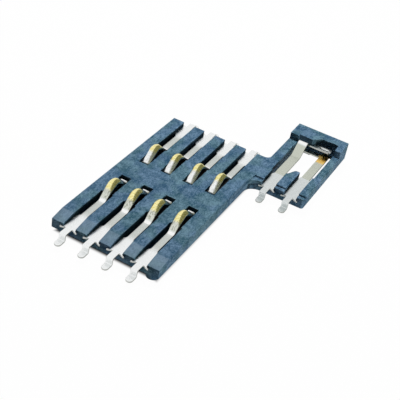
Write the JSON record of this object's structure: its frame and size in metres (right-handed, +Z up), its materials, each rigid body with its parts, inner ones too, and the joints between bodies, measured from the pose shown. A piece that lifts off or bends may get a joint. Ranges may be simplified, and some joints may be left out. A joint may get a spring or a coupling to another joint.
{
  "type": "smart card connector",
  "caption": "Low-profile smart card connector: a ribbed moulded frame with rows of sprung bump contacts, gull-wing solder tails and a card-detect leaf switch beside the card stop.",
  "frame": {"origin": "on the flat underside that sits on the board, in the middle of the two contact rows", "axes": "+X across the contact columns towards the switch, +Y along the contacts towards the card stop, +Z up from the board"},
  "size_m": [0.0176, 0.0316, 0.0028],
  "materials": {
    "slate_plastic": "moulded, faintly mottled",
    "plated_strip": "tin-plated copper alloy strip, gold-plated at the contact bumps and at the switch contact"
  },
  "bodies": {
    "frame": {"housing": "slate_plastic", "contact_1_root": "plated_strip", "contact_2_root": "plated_strip", "contact_3_root": "plated_strip", "contact_4_root": "plated_strip", "contact_5_root": "plated_strip", "contact_6_root": "plated_strip", "contact_7_root": "plated_strip", "contact_8_root": "plated_strip", "switch_lever_root": "plated_strip", "switch_terminal": "plated_strip"},
    "contact_1": {"contact_1_arm": "plated_strip"},
    "contact_2": {"contact_2_arm": "plated_strip"},
    "contact_3": {"contact_3_arm": "plated_strip"},
    "contact_4": {"contact_4_arm": "plated_strip"},
    "contact_5": {"contact_5_arm": "plated_strip"},
    "contact_6": {"contact_6_arm": "plated_strip"},
    "contact_7": {"contact_7_arm": "plated_strip"},
    "contact_8": {"contact_8_arm": "plated_strip"},
    "switch_lever": {"switch_lever_arm": "plated_strip"}
  },
  "joints": [
    {"name": "contact_1_flex", "type": "hinge", "parent": "frame", "child": "contact_1", "pos_m": [-0.00381, -0.0086, 0.00072], "axis": [-1, 0, 0], "range_deg": [0, 7.5], "stiffness_Nm_per_rad": 0.012},
    {"name": "contact_2_flex", "type": "hinge", "parent": "frame", "child": "contact_2", "pos_m": [-0.00127, -0.0086, 0.00072], "axis": [-1, 0, 0], "range_deg": [0, 7.5], "stiffness_Nm_per_rad": 0.012},
    {"name": "contact_3_flex", "type": "hinge", "parent": "frame", "child": "contact_3", "pos_m": [0.00127, -0.0086, 0.00072], "axis": [-1, 0, 0], "range_deg": [0, 7.5], "stiffness_Nm_per_rad": 0.012},
    {"name": "contact_4_flex", "type": "hinge", "parent": "frame", "child": "contact_4", "pos_m": [0.00381, -0.0086, 0.00072], "axis": [-1, 0, 0], "range_deg": [0, 7.5], "stiffness_Nm_per_rad": 0.012},
    {"name": "contact_5_flex", "type": "hinge", "parent": "frame", "child": "contact_5", "pos_m": [-0.00381, 0.0086, 0.00072], "axis": [1, 0, 0], "range_deg": [0, 7.5], "stiffness_Nm_per_rad": 0.012},
    {"name": "contact_6_flex", "type": "hinge", "parent": "frame", "child": "contact_6", "pos_m": [-0.00127, 0.0086, 0.00072], "axis": [1, 0, 0], "range_deg": [0, 7.5], "stiffness_Nm_per_rad": 0.012},
    {"name": "contact_7_flex", "type": "hinge", "parent": "frame", "child": "contact_7", "pos_m": [0.00127, 0.0086, 0.00072], "axis": [1, 0, 0], "range_deg": [0, 7.5], "stiffness_Nm_per_rad": 0.012},
    {"name": "contact_8_flex", "type": "hinge", "parent": "frame", "child": "contact_8", "pos_m": [0.00381, 0.0086, 0.00072], "axis": [1, 0, 0], "range_deg": [0, 7.5], "stiffness_Nm_per_rad": 0.012},
    {"name": "switch_lever_flex", "type": "hinge", "parent": "frame", "child": "switch_lever", "pos_m": [0.0077, 0.00982, 0.00072], "axis": [-1, 0, 0], "range_deg": [0, 3], "stiffness_Nm_per_rad": 0.006}
  ]
}
